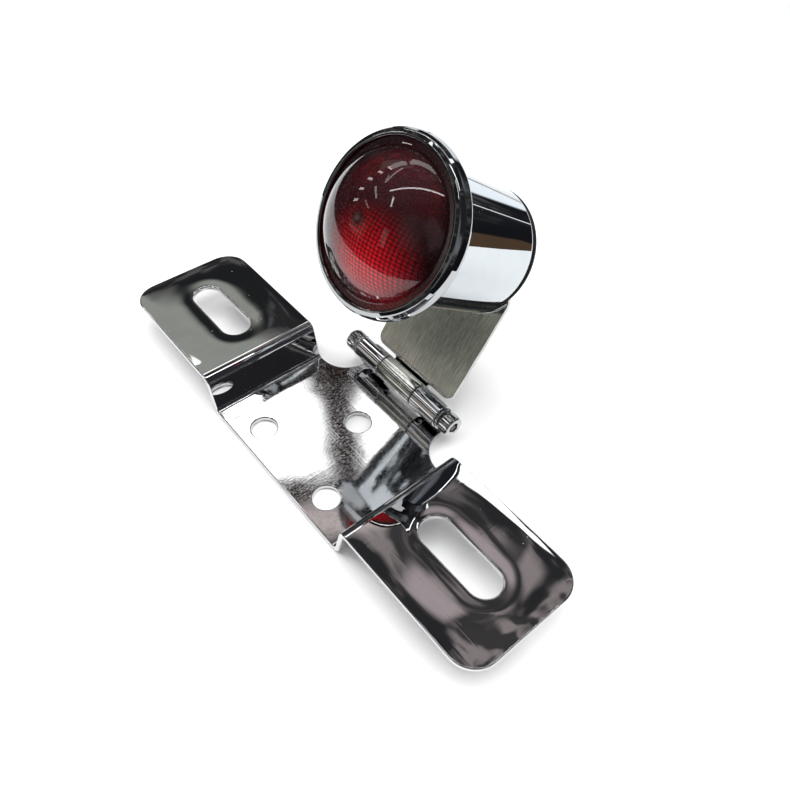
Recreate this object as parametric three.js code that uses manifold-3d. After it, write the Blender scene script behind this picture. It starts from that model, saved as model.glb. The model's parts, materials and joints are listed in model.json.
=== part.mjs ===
// Motorcycle tail light on a hinged licence plate bracket.
// Millimetres. X runs along the bracket, Y from its front edge to the hinge, Z up. The bracket
// rests on z = 0, and the origin is under the middle of its centre plate.
import * as THREE from 'three';
import { mergeVertices } from 'three/addons/utils/BufferGeometryUtils.js';
import Module from 'manifold-3d';

const wasm = await Module();
wasm.setup();

// Driving dimensions
const SHEET = 2;                 // thickness of both stamped plates
const GAP = 0.3;                 // clearance between neighbouring pieces

const BRACKET_LENGTH = 209;
const BRACKET_DEPTH = 50;
const RISER_FOOT = 39.5;         // half distance between the risers, at the centre plate
const RISER_HEAD = 43;           // half distance between the risers, at the wings
const WING_LIFT = 15.5;          // wing above centre plate
const WING_CORNER = 10;
const SLOT_PITCH = 146;
const SLOT_LENGTH = 34;
const SLOT_WIDTH = 12;
const HOLE_DIAMETER = 10.2;
const HOLE_PLACES = [[-20.4, -15], [20.4, -15], [0, 15.3]];
const SCALLOP = 12;              // radius of the concave corners beside the hinge tab
const BEND = 3;                  // mid-sheet radius of the bends

const HINGE_Y = 37;
const HINGE_Z = 11.6;
const KNUCKLE_RADIUS = 4.9;
const ROLL_SWEEP = 258;          // degrees of the sheet rolled round the hinge screw
const BARREL_HALF = 9.7;         // half length of the middle knuckle
const NOTCH_HALF = BARREL_HALF + GAP;
const TAB_HALF = 24;
const SCREW_RADIUS = 2.5;
const SCREW_REACH = 7;           // how far a hinge screw enters the middle knuckle
const SCREW_HEAD_RADIUS = 4.3;
const SCREW_HEAD_LENGTH = 5;
const HEX_KEY = 4;
const HEX_DEPTH = 2.6;
const WASHER = 1.2;
const WASHER_RADIUS = 4.7;

const LEAF_TILT = THREE.MathUtils.degToRad(56);
const LEAF_HALF = 22;
const LEAF_START = 5.3;          // lower edge of the leaf, from the hinge axis
const LEAF_SHOULDER = 53;
const LEAF_LOW_CORNER = 4;
const LEAF_HIGH_CORNER = 6;
const LAMP_REACH = 59;           // lamp axis, from the hinge axis
const LEAF_DISC = 20;            // round end of the leaf, behind the lamp
const BOLT_OFFSET = 14;
const BOLT_RADIUS = 2.4;
const BOLT_HOLE = BOLT_RADIUS + GAP;
const BOLT_HEAD_RADIUS = 4.2;
const NUT_ACROSS_FLATS = 8;
const NUT_HEIGHT = 4;
const LOCK_WASHER = 1;
const WIRE_HOLE = 4;
const WIRE_BORE = 2.4;

const PAD = 1;                   // rubber pad between lamp and leaf
const HOUSING_RADIUS = 23.4;
const HOUSING_REAR = PAD + 2 * GAP;
const HOUSING_WALL = 1.4;
const HOUSING_EDGE = 2.5;        // radius of its rear edge
const MOUTH_LIP = 3.8;           // flange round the housing's mouth, beyond its side
const LAMP_LENGTH = 57.3;        // front of the bezel, from the leaf
const BEZEL_RADIUS = 30;
const BEZEL_WALL = 1.2;
const BEZEL_SKIRT = 9.7;         // depth of the bezel behind its front
const BEZEL_SHOULDER = 3.9;      // its widest ring lies this far behind its front
const OPENING_RADIUS = 26.4;
const LENS_RADIUS = 27.4;
const DOME_RADIUS = 24.4;        // of its base on the lens flange; the dome is part of a ball
const DOME_HEIGHT = 14.5;
const LENS_WALL = 2.2;

const SOCKET_RADIUS = 8.6;
const SOCKET_BORE = 7.8;
const SOCKET_FLOOR = 3.4;
const SOCKET_TOP = 28;
const SOCKET_WINGS = 18.4;       // half length of the socket's flange
const CAP_RADIUS = 7.5;
const CAP_BOTTOM = 15.3;
const CAP_TOP = 30;
const PIN_Z = 22.2;
const PIN_RADIUS = 1;
const GLASS_RADIUS = 12.5;
const GLASS_CENTRE = 45;
const GLASS_WALL = 0.6;
const STEM_TOP = 38;
const WIRE_RADIUS = 0.25;        // filament supports and contact springs
const CONTACT_OFFSET = 3.2;
const PLATE_LOW = 5;             // lower face of the contact plate
const PLATE_HIGH = 6.8;
const PLUNGER_TOP = 13.2;
const PLUNGER_HEAD = 2.1;
const SPRING_RADIUS = 1.65;
const SPRING_TURNS = 4;
const BULB_TRAVEL = 1.8;         // how far the bulb presses in before it turns free

const ROUND = 48;                // facets round a large circle

// Materials
function metal(color, roughness) {
  return new THREE.MeshStandardMaterial({ color, roughness, metalness: 1 });
}
function plastic(color, roughness) {
  return new THREE.MeshStandardMaterial({ color, roughness, metalness: 0 });
}
const chrome = metal(0xd9dde0, 0.06);
const brushed = metal(0xa9aca8, 0.22);
const zinc = metal(0xb4b6b8, 0.3);
const brass = metal(0xc49a4a, 0.3);
const aluminium = metal(0xe6e8ea, 0.12);
const spring = metal(0x8d9094, 0.3);
const redLens = plastic(0xa50f16, 0.08);
const glass = plastic(0xdfe6e8, 0.05);
const rubber = plastic(0x17181a, 0.75);
const phenolic = plastic(0x3a2a20, 0.6);
const tungsten = metal(0x55575b, 0.5);

// Solids
function solid(geometry) {
  const bare = geometry.clone();
  bare.deleteAttribute('normal');
  bare.deleteAttribute('uv');
  const merged = mergeVertices(bare.index ? bare.toNonIndexed() : bare, 1e-4);
  const vertProperties = new Float32Array(merged.attributes.position.array);
  const triVerts = new Uint32Array(merged.index.array);
  return new wasm.Manifold(new wasm.Mesh({ numProp: 3, vertProperties, triVerts }));
}
function geometryOf(manifold) {
  const { vertProperties, triVerts } = manifold.getMesh();
  const geometry = new THREE.BufferGeometry();
  geometry.setAttribute('position', new THREE.BufferAttribute(new Float32Array(vertProperties), 3));
  geometry.setIndex(new THREE.BufferAttribute(new Uint32Array(triVerts), 1));
  geometry.computeVertexNormals();
  return geometry;
}
function piece(name, shape, material) {
  const geometry = shape.isBufferGeometry ? shape : geometryOf(shape);
  const mesh = new THREE.Mesh(geometry, material);
  mesh.name = name;
  return mesh;
}
function box(x0, x1, y0, y1, z0, z1) {
  const geometry = new THREE.BoxGeometry(x1 - x0, y1 - y0, z1 - z0);
  return geometry.translate((x0 + x1) / 2, (y0 + y1) / 2, (z0 + z1) / 2);
}
function rod(radius, z0, z1, sides = 32) {
  const geometry = new THREE.CylinderGeometry(radius, radius, z1 - z0, sides);
  return geometry.rotateX(Math.PI / 2).translate(0, 0, (z0 + z1) / 2);
}
function rodAlongX(radius, x0, x1, sides = 32) {
  return rod(radius, x0, x1, sides).rotateY(Math.PI / 2);
}
function turned(profile, sides = ROUND) {
  const points = profile.map(([r, z]) => new THREE.Vector2(r, z));
  return new THREE.LatheGeometry(points, sides).rotateX(Math.PI / 2);
}
function slab(shape, z0, z1, curveSegments = 8) {
  const geometry = new THREE.ExtrudeGeometry(shape, { depth: z1 - z0, bevelEnabled: false, curveSegments });
  return geometry.translate(0, 0, z0);
}
// Points on an arc, angles in degrees.
function arc(cx, cy, radius, from, to, steps) {
  const points = [];
  for (let i = 0; i <= steps; i++) {
    const a = THREE.MathUtils.degToRad(from + (to - from) * i / steps);
    points.push([cx + radius * Math.cos(a), cy + radius * Math.sin(a)]);
  }
  return points;
}
// Section of a bent sheet, from the points of its middle line.
function sheetSection(middle) {
  const line = middle.map(([x, y]) => new THREE.Vector2(x, y));
  const left = [];
  const right = [];
  line.forEach((point, i) => {
    const ahead = line[Math.min(i + 1, line.length - 1)];
    const behind = line[Math.max(i - 1, 0)];
    const along = ahead.clone().sub(behind).normalize();
    const side = new THREE.Vector2(-along.y, along.x).multiplyScalar(SHEET / 2);
    left.push(point.clone().add(side));
    right.unshift(point.clone().sub(side));
  });
  return new THREE.Shape([...left, ...right]);
}
// A rectangle with rounded corners; corner radii at low y and at high y.
function roundedRectangle(halfWidth, y0, y1, lowRadius, highRadius) {
  const shape = new THREE.Shape();
  shape.moveTo(-halfWidth + lowRadius, y0);
  shape.lineTo(halfWidth - lowRadius, y0);
  shape.absarc(halfWidth - lowRadius, y0 + lowRadius, lowRadius, -Math.PI / 2, 0, false);
  shape.absarc(halfWidth - highRadius, y1 - highRadius, highRadius, 0, Math.PI / 2, false);
  shape.absarc(-halfWidth + highRadius, y1 - highRadius, highRadius, Math.PI / 2, Math.PI, false);
  shape.absarc(-halfWidth + lowRadius, y0 + lowRadius, lowRadius, Math.PI, 1.5 * Math.PI, false);
  return shape;
}

// Licence plate bracket: centre plate, two risers, two wings and the rolled hinge tab, one stamping
function plateBracket() {
  const middle = SHEET / 2;
  const wing = WING_LIFT + middle;
  const lean = Math.atan2(WING_LIFT, RISER_HEAD - RISER_FOOT);
  const leanDegrees = THREE.MathUtils.radToDeg(lean);
  const run = BEND * Math.tan(lean / 2);
  const half = [
    ...arc(RISER_FOOT - run, middle + BEND, BEND, -90, leanDegrees - 90, 6),
    ...arc(RISER_HEAD + run, wing - BEND, BEND, leanDegrees + 90, 90, 6),
    [BRACKET_LENGTH / 2, wing],
  ];
  const mirrored = half.map(([x, z]) => [-x, z]).reverse();
  const hat = new THREE.ExtrudeGeometry(sheetSection([...mirrored, ...half]),
    { depth: BRACKET_DEPTH, bevelEnabled: false });
  hat.rotateX(Math.PI / 2).translate(0, BRACKET_DEPTH / 2, 0);
  const back = BRACKET_DEPTH / 2;
  const outline = roundedRectangle(BRACKET_LENGTH / 2, -back, back, WING_CORNER, WING_CORNER);
  let bracket = solid(hat).intersect(solid(slab(outline, -1, WING_LIFT + SHEET + 1)));

  const scallopX = TAB_HALF + SCALLOP;
  const tabEnd = HINGE_Y + KNUCKLE_RADIUS - middle - BEND;
  const tab = new THREE.Shape();
  tab.moveTo(-scallopX, back - BEND);
  tab.lineTo(scallopX, back - BEND);
  tab.lineTo(scallopX, back);
  tab.absarc(scallopX, back + SCALLOP, SCALLOP, -Math.PI / 2, Math.PI, true);
  tab.lineTo(TAB_HALF, tabEnd);
  tab.lineTo(-TAB_HALF, tabEnd);
  tab.lineTo(-TAB_HALF, back + SCALLOP);
  tab.absarc(-scallopX, back + SCALLOP, SCALLOP, 0, -Math.PI / 2, true);
  bracket = bracket.add(solid(slab(tab, 0, SHEET)));

  const rollRadius = KNUCKLE_RADIUS - middle;
  const roll = sheetSection([
    [tabEnd - BEND, middle],
    ...arc(tabEnd, middle + BEND, BEND, -90, 0, 6),
    ...arc(HINGE_Y, HINGE_Z, rollRadius, 0, ROLL_SWEEP, 22),
  ]);
  const knuckles = new THREE.ExtrudeGeometry(roll, { depth: 2 * TAB_HALF, bevelEnabled: false });
  knuckles.rotateY(Math.PI / 2).rotateX(Math.PI / 2).translate(-TAB_HALF, 0, 0);
  const notch = box(-NOTCH_HALF, NOTCH_HALF, HINGE_Y - 0.5, HINGE_Y + 10, -1, HINGE_Z + 10);
  const rollClear = box(-NOTCH_HALF, NOTCH_HALF, HINGE_Y - 10, HINGE_Y + 10, SHEET + 0.5, HINGE_Z + 10);
  bracket = bracket.add(solid(knuckles)).subtract(solid(notch)).subtract(solid(rollClear));

  for (const [x, y] of HOLE_PLACES) {
    bracket = bracket.subtract(solid(rod(HOLE_DIAMETER / 2, -1, SHEET + 1).translate(x, y, 0)));
  }
  for (const side of [-1, 1]) {
    const slot = new THREE.Shape();
    const reach = (SLOT_LENGTH - SLOT_WIDTH) / 2;
    slot.absarc(-reach, 0, SLOT_WIDTH / 2, Math.PI / 2, 1.5 * Math.PI, false);
    slot.absarc(reach, 0, SLOT_WIDTH / 2, -Math.PI / 2, Math.PI / 2, false);
    const cutter = slab(slot, WING_LIFT - 1, WING_LIFT + SHEET + 1, 12);
    bracket = bracket.subtract(solid(cutter.translate(side * SLOT_PITCH / 2, 0, 0)));
  }
  return bracket;
}

// Hinge hardware, made for the right-hand end and turned round for the left
function hingeScrew() {
  const headStart = TAB_HALF + WASHER + 2 * GAP;
  const headEnd = headStart + SCREW_HEAD_LENGTH;
  const shank = rodAlongX(SCREW_RADIUS, BARREL_HALF - SCREW_REACH, headStart + 1);
  const head = rodAlongX(SCREW_HEAD_RADIUS, headStart, headEnd, 36);
  const key = rodAlongX(HEX_KEY / Math.sqrt(3), headEnd - HEX_DEPTH, headEnd + 1, 6);
  return solid(shank).add(solid(head)).subtract(solid(key));
}
function hingeWasher() {
  const bore = SCREW_RADIUS + GAP;
  const profile = [[bore, 0], [WASHER_RADIUS, 0], [WASHER_RADIUS, WASHER], [bore, WASHER], [bore, 0]];
  return turned(profile, 36).rotateY(Math.PI / 2).translate(TAB_HALF + GAP, 0, 0);
}

// Lamp bracket, in the hinge's own frame: Y along the leaf, Z out of its front face
const LEAF_FRONT = SHEET - KNUCKLE_RADIUS;
const LEAF_BACK = -KNUCKLE_RADIUS;
function lampBracket() {
  const plate = roundedRectangle(LEAF_HALF, LEAF_START, LEAF_SHOULDER, LEAF_LOW_CORNER, LEAF_HIGH_CORNER);
  const disc = rod(LEAF_DISC, LEAF_BACK, LEAF_FRONT, ROUND).translate(0, LAMP_REACH, 0);
  const neck = box(-BARREL_HALF, BARREL_HALF, 0, LEAF_START + 2, LEAF_BACK, LEAF_FRONT);
  const barrel = rodAlongX(KNUCKLE_RADIUS, -BARREL_HALF, BARREL_HALF, 40);
  const bore = rodAlongX(SCREW_RADIUS + GAP, -BARREL_HALF - 1, BARREL_HALF + 1);
  let bracket = solid(slab(plate, LEAF_BACK, LEAF_FRONT)).add(solid(disc)).add(solid(neck));
  bracket = bracket.add(solid(barrel)).subtract(solid(bore));
  for (const cutter of rearHoles(LEAF_BACK - 1, LEAF_FRONT + 1)) {
    bracket = bracket.subtract(solid(cutter.translate(0, LAMP_REACH, 0)));
  }
  return bracket;
}
// The two bolt holes and the wire hole that run through leaf, pad and housing.
function rearHoles(z0, z1) {
  return [
    rod(BOLT_HOLE, z0, z1, 24).translate(-BOLT_OFFSET, 0, 0),
    rod(BOLT_HOLE, z0, z1, 24).translate(BOLT_OFFSET, 0, 0),
    rod(WIRE_HOLE, z0, z1, 24),
  ];
}

// Lamp body, on the lamp's axis: Z forward from the front face of the leaf
const FLANGE_TOP = LAMP_LENGTH - 4.7;
const LENS_SEAT = FLANGE_TOP + 1.7;
const LENS_FACE = LAMP_LENGTH - 1.2;

function rearPad() {
  let pad = solid(rod(HOUSING_RADIUS - 0.2, GAP, GAP + PAD, ROUND));
  for (const cutter of rearHoles(0, 2)) pad = pad.subtract(solid(cutter));
  return pad;
}
function lampHousing() {
  const rear = HOUSING_REAR;
  const floor = rear + HOUSING_WALL;
  const inner = HOUSING_RADIUS - HOUSING_WALL;
  const edge = HOUSING_EDGE;
  const fillet = HOUSING_EDGE - HOUSING_WALL;
  const lip = FLANGE_TOP - 1;
  const profile = [
    [0, rear],
    ...arc(HOUSING_RADIUS - edge, rear + edge, edge, -90, 0, 6),
    [HOUSING_RADIUS, lip - 0.63 * MOUTH_LIP],
    [HOUSING_RADIUS + MOUTH_LIP, lip],
    [HOUSING_RADIUS + MOUTH_LIP, FLANGE_TOP],
    [inner, FLANGE_TOP],
    ...arc(inner - fillet, floor + fillet, fillet, 0, -90, 4),
    [0, floor],
  ];
  let housing = solid(turned(profile));
  for (const cutter of rearHoles(rear - 1, floor + 1)) housing = housing.subtract(solid(cutter));
  return housing;
}
function bezel() {
  const top = LAMP_LENGTH;
  const widest = top - BEZEL_SHOULDER;
  const rear = top - BEZEL_SKIRT;
  const hollow = BEZEL_RADIUS - BEZEL_WALL;
  const rim = HOUSING_RADIUS + 0.8;
  const lip = OPENING_RADIUS;
  const crown = 2.7;
  const shoulder = 1.9;
  return turned([
    [lip, top - 0.8],
    [lip + 1.4, top - 0.8],
    [hollow, widest + 1],
    [hollow, widest],
    [hollow - 0.6, widest - BEZEL_WALL],
    [rim - 0.1, rear + 0.9],
    [rim, rear + 0.3],
    [rim + 0.8, rear],
    [BEZEL_RADIUS - 0.8, widest - shoulder],
    [BEZEL_RADIUS, widest],
    ...arc(BEZEL_RADIUS - shoulder, widest + 1, shoulder, 0, 42, 4),
    ...arc(lip + 1.1, top - crown, crown, 60, 97, 3),
    [lip + 0.1, top - 0.3],
    [lip, top - 0.8],
  ], 60);
}
function lensGasket() {
  const [low, high] = [FLANGE_TOP + GAP, LENS_SEAT - GAP];
  const [inner, outer] = [HOUSING_RADIUS - 0.4, LENS_RADIUS - 0.2];
  return turned([[inner, low], [outer, low], [outer, high], [inner, high], [inner, low]]);
}
function lens() {
  const ball = (DOME_RADIUS ** 2 + DOME_HEIGHT ** 2) / (2 * DOME_HEIGHT);
  const centre = LENS_FACE + DOME_HEIGHT - ball;
  const inner = ball - LENS_WALL;
  const angleAt = (radius, z) => THREE.MathUtils.radToDeg(Math.asin((z - centre) / radius));
  const profile = [
    [LENS_RADIUS, LENS_SEAT],
    [LENS_RADIUS, LENS_FACE],
    ...arc(0, centre, ball, angleAt(ball, LENS_FACE), 90, 10),
    ...arc(0, centre, inner, 90, angleAt(inner, LENS_SEAT), 10),
  ];
  return turned([...profile, profile[0]]);
}
function reflector() {
  const wall = 0.8;
  const neck = SOCKET_RADIUS + wall;
  const mouth = HOUSING_RADIUS - HOUSING_WALL - GAP;
  const low = SOCKET_TOP - 1.5;
  const outside = [];
  const inside = [];
  const steps = 8;
  for (let i = 0; i <= steps; i++) {
    const r = neck + (mouth - neck) * i / steps;
    const z = low + (FLANGE_TOP - wall - low) * (i / steps) ** 2;
    outside.push([r, z]);
    inside.unshift([r, z + wall]);
  }
  return turned([...outside, ...inside, outside[0]]);
}

// Bulb holder
function bulbSocket() {
  const flange = roundedRectangle(SOCKET_WINGS, -SOCKET_RADIUS, SOCKET_RADIUS, 5, 5);
  let socket = solid(slab(flange, SOCKET_FLOOR, SOCKET_FLOOR + 1.2));
  socket = socket.add(solid(rod(SOCKET_RADIUS, SOCKET_FLOOR, SOCKET_TOP, 40)));
  socket = socket.subtract(solid(rod(SOCKET_BORE, SOCKET_FLOOR - 1, SOCKET_TOP + 1, 40)));
  for (const side of [-1, 1]) {
    socket = socket.subtract(solid(rod(BOLT_HOLE, 0, 10, 24).translate(side * BOLT_OFFSET, 0, 0)));
  }
  const entryTurn = 0.45;
  const [near, far] = [SOCKET_BORE - 3, SOCKET_RADIUS + 3];
  const clear = PIN_RADIUS + 0.4;
  const pressed = PIN_Z - BULB_TRAVEL;
  for (const half of [0, Math.PI]) {
    const seat = box(near, far, -clear, clear, pressed - clear, PIN_Z + clear);
    const leg = box(near, far, -clear, 4, pressed - clear, pressed + clear);
    const entry = box(near, far, -clear, clear, pressed - clear, SOCKET_TOP + 1).rotateZ(entryTurn);
    for (const cutter of [seat, leg, entry]) {
      socket = socket.subtract(solid(cutter.rotateZ(half)));
    }
  }
  return socket;
}
function contactPlate() {
  let plate = solid(rod(SOCKET_BORE - GAP, PLATE_LOW, PLATE_HIGH));
  for (const side of [-1, 1]) {
    const hole = rod(1.3, PLATE_LOW - 1, PLATE_HIGH + 1, 16).translate(side * CONTACT_OFFSET, 0, 0);
    plate = plate.subtract(solid(hole));
  }
  return plate;
}
function contactPlunger() {
  const [end, stem, underHead] = [PLATE_HIGH - GAP, 0.9, PLUNGER_TOP - 1.2];
  return turned([[0, end], [stem, end], [stem, underHead], [PLUNGER_HEAD, underHead],
    [PLUNGER_HEAD, PLUNGER_TOP - 0.5], [PLUNGER_HEAD - 0.7, PLUNGER_TOP], [0, PLUNGER_TOP]], 20);
}
function wireAlong(extrudePath, steps) {
  const wire = new THREE.Shape().absarc(0, 0, WIRE_RADIUS, 0, 2 * Math.PI, false);
  return new THREE.ExtrudeGeometry(wire, { steps, curveSegments: 3, extrudePath, bevelEnabled: false });
}
function contactSpring() {
  const low = PLATE_HIGH + WIRE_RADIUS + GAP;
  const high = PLUNGER_TOP - 1.2 - WIRE_RADIUS - GAP;
  const steps = SPRING_TURNS * 12;
  const points = [];
  for (let i = 0; i <= steps; i++) {
    const a = 2 * Math.PI * SPRING_TURNS * i / steps;
    const z = low + (high - low) * i / steps;
    points.push(new THREE.Vector3(SPRING_RADIUS * Math.cos(a), SPRING_RADIUS * Math.sin(a), z));
  }
  return wireAlong(new THREE.CatmullRomCurve3(points), steps);
}

// Bulb
function bulbCap() {
  const wall = 0.5;
  const turnedIn = CAP_RADIUS - 1.2;
  const inner = CAP_RADIUS - wall;
  const lipTop = CAP_BOTTOM + 1.2;
  const shell = turned([
    [turnedIn, CAP_BOTTOM], [inner, CAP_BOTTOM], [CAP_RADIUS, CAP_BOTTOM + wall], [CAP_RADIUS, CAP_TOP],
    [inner, CAP_TOP], [inner, lipTop], [turnedIn, lipTop], [turnedIn, CAP_BOTTOM],
  ], 40);
  let cap = solid(shell);
  for (const side of [-1, 1]) {
    const pin = rodAlongX(PIN_RADIUS, CAP_RADIUS - 0.3, SOCKET_RADIUS + 0.5, 16).translate(0, 0, PIN_Z);
    cap = cap.add(solid(side > 0 ? pin : pin.rotateZ(Math.PI)));
  }
  return cap;
}
function bulbBase() {
  return rod(CAP_RADIUS - 1.5, CAP_BOTTOM - 0.6, CAP_BOTTOM + 1.8, 32);
}
function bulbContact() {
  const [low, high, radius] = [PLUNGER_TOP + GAP, CAP_BOTTOM - 0.9, 1.5];
  return turned([[0, low], [0.9, low], [radius, low + 0.5], [radius, high], [0, high]], 20);
}
function bulbGlass() {
  const wall = GLASS_WALL;
  const neck = CAP_RADIUS - 0.8;
  const start = THREE.MathUtils.radToDeg(Math.acos(neck / GLASS_RADIUS));
  const neckInner = neck - wall;
  const innerStart = THREE.MathUtils.radToDeg(Math.acos(neckInner / (GLASS_RADIUS - wall)));
  return turned([
    [neckInner, CAP_TOP - 8], [neck, CAP_TOP - 8],
    ...arc(0, GLASS_CENTRE, GLASS_RADIUS, -start, 90, 14),
    ...arc(0, GLASS_CENTRE, GLASS_RADIUS - wall, 90, -innerStart, 14),
    [neckInner, CAP_TOP - 8],
  ], 40);
}
function glassStem() {
  const foot = CAP_TOP - 7;
  return turned([[0, foot], [4.6, foot], [3, CAP_TOP], [1.6, STEM_TOP], [0, STEM_TOP]], 24);
}
function filament(z) {
  const half = 3.2;
  const root = 1.2;
  const low = STEM_TOP + GAP;
  const support = new THREE.CurvePath();
  const corners = [[-root, low], [-half, z], [half, z], [root, low]];
  for (let i = 0; i < 3; i++) {
    const ends = [corners[i], corners[i + 1]].map(([x, height]) => new THREE.Vector3(x, 0, height));
    support.add(new THREE.LineCurve3(...ends));
  }
  return wireAlong(support, 24);
}

// Fasteners behind the lamp, at x = 0
function mountBolt() {
  const under = SOCKET_FLOOR + 1.5;
  const top = under + 2.9;
  const head = turned([[0, under], [BOLT_HEAD_RADIUS, under], [BOLT_HEAD_RADIUS, under + 1.5],
    [BOLT_HEAD_RADIUS - 1, top - 0.2], [0, top]], 24);
  const end = -SHEET - 2 * GAP - LOCK_WASHER - NUT_HEIGHT;
  const shank = rod(BOLT_RADIUS, end - 1, under + 0.5, 24);
  const drive = box(-0.6, 0.6, -BOLT_HEAD_RADIUS - 1, BOLT_HEAD_RADIUS + 1, top - 1.2, top + 1);
  return solid(head).add(solid(shank)).subtract(solid(drive));
}
function lockWasher() {
  const high = -SHEET - GAP;
  const low = high - LOCK_WASHER;
  const outer = BOLT_HEAD_RADIUS + 0.2;
  return turned([[BOLT_HOLE, low], [outer, low], [outer, high], [BOLT_HOLE, high], [BOLT_HOLE, low]], 28);
}
function mountNut() {
  const high = -SHEET - 2 * GAP - LOCK_WASHER;
  const low = high - NUT_HEIGHT;
  const hexagon = rod(NUT_ACROSS_FLATS / Math.sqrt(3), low, high, 6);
  return solid(hexagon).subtract(solid(rod(BOLT_HOLE, low - 1, high + 1, 24)));
}
function wireGrommet() {
  const back = -SHEET - GAP;
  const front = HOUSING_REAR + HOUSING_WALL + GAP;
  const body = WIRE_HOLE - GAP;
  const flange = body + 1.7;
  const thickness = 1.2;
  return turned([[WIRE_BORE, back - thickness], [flange - 0.2, back - thickness], [flange, back],
    [body, back], [body, front], [flange, front], [flange - 0.4, front + thickness],
    [WIRE_BORE, front + thickness], [WIRE_BORE, back - thickness]], 28);
}

// Assembly
const group = new THREE.Group();
group.add(piece('plate_bracket', plateBracket(), chrome));

const lampSide = new THREE.Group();
lampSide.position.set(0, HINGE_Y, HINGE_Z);
lampSide.rotation.x = LEAF_TILT;
group.add(lampSide);
lampSide.add(piece('lamp_bracket', lampBracket(), brushed));
for (const [name, turn] of [['right', 0], ['left', Math.PI]]) {
  const end = new THREE.Group();
  end.rotation.z = turn;
  end.add(piece(`hinge_screw_${name}`, hingeScrew(), zinc));
  end.add(piece(`hinge_washer_${name}`, hingeWasher(), zinc));
  lampSide.add(end);
}

const lamp = new THREE.Group();
lamp.position.set(0, LAMP_REACH, LEAF_FRONT);
lampSide.add(lamp);
lamp.add(piece('rear_pad', rearPad(), rubber));
lamp.add(piece('lamp_housing', lampHousing(), chrome));
lamp.add(piece('bezel', bezel(), chrome));
lamp.add(piece('lens_gasket', lensGasket(), rubber));
lamp.add(piece('lens', lens(), redLens));
lamp.add(piece('reflector', reflector(), aluminium));
lamp.add(piece('bulb_socket', bulbSocket(), zinc));
lamp.add(piece('contact_plate', contactPlate(), phenolic));
lamp.add(piece('bulb_cap', bulbCap(), brass));
lamp.add(piece('bulb_base_insulator', bulbBase(), phenolic));
lamp.add(piece('bulb_glass', bulbGlass(), glass));
lamp.add(piece('bulb_stem', glassStem(), glass));
for (const [name, height, side] of [['filament_stop', 2, -1], ['filament_tail', -1, 1]]) {
  const coil = filament(GLASS_CENTRE + height).translate(0, side * 1.1, 0);
  lamp.add(piece(name, coil, tungsten));
}
lamp.add(piece('wire_grommet', wireGrommet(), rubber));
for (const [name, side] of [['1', -1], ['2', 1]]) {
  const contact = new THREE.Group();
  contact.position.x = side * CONTACT_OFFSET;
  contact.add(piece(`contact_plunger_${name}`, contactPlunger(), brass));
  contact.add(piece(`contact_spring_${name}`, contactSpring(), spring));
  contact.add(piece(`bulb_contact_${name}`, bulbContact(), zinc));
  lamp.add(contact);
  const bolt = new THREE.Group();
  bolt.position.x = side * BOLT_OFFSET;
  bolt.add(piece(`mount_bolt_${name}`, mountBolt(), zinc));
  bolt.add(piece(`mount_lock_washer_${name}`, lockWasher(), spring));
  bolt.add(piece(`mount_nut_${name}`, mountNut(), zinc));
  lamp.add(bolt);
}

export default group;
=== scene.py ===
# Motorcycle tail light on a hinged licence plate bracket, in chrome, seen on a white table.
# Metres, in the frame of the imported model. Shapes are worked out in millimetres and scaled once.
import json
import math
import bpy
import numpy as np
from mathutils import Matrix, Vector
from mathutils.geometry import delaunay_2d_cdt


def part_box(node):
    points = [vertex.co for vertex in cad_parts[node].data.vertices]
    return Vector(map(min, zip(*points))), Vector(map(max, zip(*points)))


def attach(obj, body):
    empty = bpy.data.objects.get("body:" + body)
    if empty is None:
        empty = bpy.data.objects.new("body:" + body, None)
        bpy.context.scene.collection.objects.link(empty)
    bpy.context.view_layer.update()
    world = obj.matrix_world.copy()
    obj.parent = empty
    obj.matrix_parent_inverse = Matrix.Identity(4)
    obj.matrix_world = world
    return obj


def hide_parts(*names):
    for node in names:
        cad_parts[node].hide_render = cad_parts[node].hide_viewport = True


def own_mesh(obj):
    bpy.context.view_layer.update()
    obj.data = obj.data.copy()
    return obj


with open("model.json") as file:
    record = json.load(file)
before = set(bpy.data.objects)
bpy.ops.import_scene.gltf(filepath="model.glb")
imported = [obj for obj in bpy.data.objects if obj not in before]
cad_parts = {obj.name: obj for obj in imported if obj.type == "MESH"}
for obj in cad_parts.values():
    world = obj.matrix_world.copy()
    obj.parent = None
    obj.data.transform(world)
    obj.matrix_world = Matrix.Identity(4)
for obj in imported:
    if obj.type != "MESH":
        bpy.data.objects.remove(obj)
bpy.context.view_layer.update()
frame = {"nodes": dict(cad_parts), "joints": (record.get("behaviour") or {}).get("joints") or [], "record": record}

MM = 0.001
TAU = 2 * math.pi
ROW_STEP = 1.73     # rows of points across the bracket
SHEET = 2.0                           # thickness of both stamped plates
GAP = 0.3                             # clearance between neighbouring pieces
KNUCKLE = 4.9                         # outer radius of the rolled knuckles
LEAF_FRONT = SHEET - KNUCKLE          # the leaf's lamp side, from the hinge axis
WASHER = 1.2                          # under a hinge screw's head
LOCK_WASHER = 1.0                     # under a nut behind the leaf
NUT_HEIGHT = 4.0
BOLT_X = 14.0                         # the two lamp bolts, from the middle
PRISM_PITCH = 1.3                     # grid inside the lens
FINE_RELIEF = 0.004 * MM              # depth of hairlines and grain

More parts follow.
